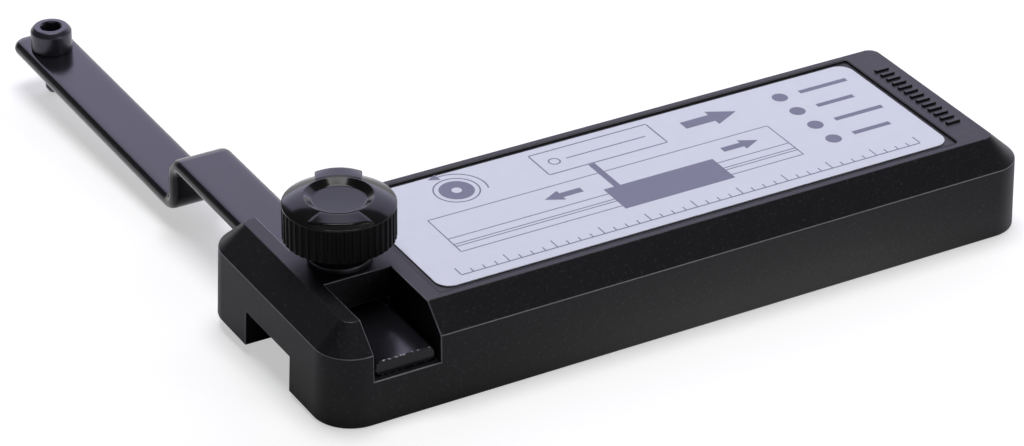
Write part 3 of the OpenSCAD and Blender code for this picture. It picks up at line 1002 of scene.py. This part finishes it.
# ---------------------------------------------------------------------------
# Studio: the part lies on a pale floor, on the near edge of the block and on
# the dog point of its screw, so the floor leans a little in the part's frame.
# ---------------------------------------------------------------------------
point_r = 1.2 * MM
tilt = math.atan2(screw_lo.z, screw_y - point_r - body_lo.y)
floor_half = 6
floor_gap = 0.05 * MM
bm = bmesh.new()
bmesh.ops.create_grid(bm, x_segments=1, y_segments=1, size=floor_half)
floor = new_piece("floor", bm)
floor.rotation_euler = (tilt, 0, 0)
floor.location = (0, body_lo.y, -floor_gap)

# Matt white card: pale grey under the lamps, lifted to white where the camera or glass sees it
card, tree, shader = new_material(
    "matt_white_card", {
        "Base Color": linear("#c8c8c8"), "Roughness": 0.9, "Emission Color": linear("#ffffff")
    }
)
path = add(tree, "ShaderNodeLightPath", {})
place = add(tree, "ShaderNodeTexCoord", {})
split = add(tree, "ShaderNodeSeparateXYZ", {}, [("Vector", place, "Object")])
# A painted pool of light on the card that only reflections see: it glows brightest close in front of the
# block, and dimmer towards both ends
front = add(tree, "ShaderNodeMapRange", {
    "From Min": -1 * MM, "From Max": 4 * MM, "To Min": 1.0, "To Max": 0.0
}, [("Value", split, "Y")])
close = add(tree, "ShaderNodeMapRange", {
    "From Min": -18 * MM, "From Max": 0.0, "To Min": 0.3, "To Max": 1.2
}, [("Value", split, "Y")])
clamp_end = add(tree, "ShaderNodeMapRange", {
    "interpolation_type": "SMOOTHSTEP", "From Min": -55 * MM, "From Max": 10 * MM,
    "To Min": 0.1, "To Max": 1.0
}, [("Value", split, "X")])
far_end = add(tree, "ShaderNodeMapRange", {
    "From Min": 40 * MM, "From Max": 80 * MM, "To Min": 1.0, "To Max": 0.2
}, [("Value", split, "X")])
painted_glow = front
for dimming in (close, clamp_end, far_end):
    painted_glow = add(tree, "ShaderNodeMath", {"operation": "MULTIPLY"}, [(0, painted_glow, 0), (1, dimming, 0)])
# The painted glow is bright again round the bar's free end, and shows in the underside of its round edges
beyond = add(tree, "ShaderNodeMapRange", {
    "From Min": 78 * MM, "From Max": 92 * MM, "To Min": 0.0, "To Max": 0.6
}, [("Value", split, "Y")])
painted_glow = add(tree, "ShaderNodeMath", {"operation": "MAXIMUM"},
               [(0, painted_glow, 0), (1, beyond, "Result")])
painted_glow = add(tree, "ShaderNodeMath", {"operation": "MULTIPLY"},
               [(0, painted_glow, 0), (1, path, "Is Glossy Ray")])
seen = add(tree, "ShaderNodeMath", {"operation": "MAXIMUM"},
           [(0, path, "Is Camera Ray"), (1, path, "Is Transmission Ray")])
seen = add(tree, "ShaderNodeMath", {"operation": "MULTIPLY", 1: 0.5}, [(0, seen, 0)])
lift = add(tree, "ShaderNodeMath", {"operation": "MAXIMUM"}, [(0, seen, 0), (1, painted_glow, 0)])
tree.links.new(lift.outputs[0], shader.inputs["Emission Strength"])
floor.data.materials.append(card)

# Studio walls: white low down, where gloss mirrors them, and dim overhead
world = bpy.data.worlds.new("studio")
bpy.context.scene.world = world
world.use_nodes = True
tree = world.node_tree
back = tree.nodes["Background"]
path = add(tree, "ShaderNodeLightPath", {})
seen = add(tree, "ShaderNodeMath", {"operation": "MAXIMUM"},
           [(0, path, "Is Camera Ray"), (1, path, "Is Transmission Ray")])
seen = add(tree, "ShaderNodeMath", {"operation": "MAXIMUM"}, [(0, seen, 0), (1, path, "Is Glossy Ray")])
level = add(tree, "ShaderNodeMapRange", {"To Min": 0.6, "To Max": 1.0}, [("Value", seen, 0)])
place = add(tree, "ShaderNodeTexCoord", {})
split = add(tree, "ShaderNodeSeparateXYZ", {}, [("Vector", place, "Generated")])
sweep = add(tree, "ShaderNodeMapRange", {
    "interpolation_type": "SMOOTHSTEP", "From Min": 0.1, "From Max": 0.45, "To Min": 1.0, "To Max": 0.12
}, [("Value", split, "Z")])
# A black screen stands along the clamp end of the table, so the walls are darker on that side
screen = add(tree, "ShaderNodeMapRange", {
    "interpolation_type": "SMOOTHSTEP", "From Min": -0.6, "From Max": 0.0, "To Min": 0.2, "To Max": 1.0
}, [("Value", split, "X")])
for dimming in (sweep, screen):
    level = add(tree, "ShaderNodeMath", {"operation": "MULTIPLY"}, [(0, level, 0), (1, dimming, 0)])
back.inputs["Color"].default_value = (1, 1, 1, 1)
tree.links.new(level.outputs[0], back.inputs["Strength"])


def softbox(name, azimuth, elevation, distance, size, power, colour="#ffffff"):
    """A rectangular soft light, aimed at the middle of the block.

    Its place is given in degrees and metres, its size in metres and its power in watts."""
    lamp = bpy.data.lights.new(name, "AREA")
    lamp.shape = "RECTANGLE"
    lamp.size, lamp.size_y = size
    lamp.energy = power
    lamp.color = linear(colour)[:3]
    a, e = math.radians(azimuth), math.radians(elevation)
    away = Vector((math.sin(a) * math.cos(e), -math.cos(a) * math.cos(e), math.sin(e)))
    holder = bpy.data.objects.new(name, lamp)
    holder.location = away * distance
    holder.rotation_euler = (-away).to_track_quat("-Z", "Y").to_euler()
    bpy.context.scene.collection.objects.link(holder)


softbox("back softbox", 143, 31, 1.5, (2.3, 1.0), 14, "#e0dcff")
softbox("high softbox", 160, 80, 1.5, (0.8, 0.8), 16)
softbox("front light", 29, 18, 1.5, (0.5, 0.5), 3)

# Camera: long lens, from in front of the clamp end and above, looking along this heading and tilt
spot = [c * MM for c in (-329.28, -523.24, 372.33)]
azimuth = math.radians(30.219)
elevation = math.radians(30.48)
roll = math.radians(0.663)
forward = Vector((
    math.sin(azimuth) * math.cos(elevation), math.cos(azimuth) * math.cos(elevation),
    -math.sin(elevation)
))
level_right = forward.cross(Vector((0, 0, 1))).normalized()
level_up = level_right.cross(forward)
right = level_right * math.cos(roll) + level_up * math.sin(roll)
up = level_up * math.cos(roll) - level_right * math.sin(roll)
lens = bpy.data.cameras.new("camera")
lens.sensor_width = 36
lens.lens = 133.86
lens.clip_start = 0.01
lens.clip_end = 30
camera = bpy.data.objects.new("camera", lens)
camera.matrix_world = Matrix((
    (right.x, up.x, -forward.x, spot[0]),
    (right.y, up.y, -forward.y, spot[1]),
    (right.z, up.z, -forward.z, spot[2]),
    (0, 0, 0, 1)
))
bpy.context.scene.collection.objects.link(camera)
bpy.context.scene.camera = camera
bpy.context.scene.view_settings.view_transform = "Standard"
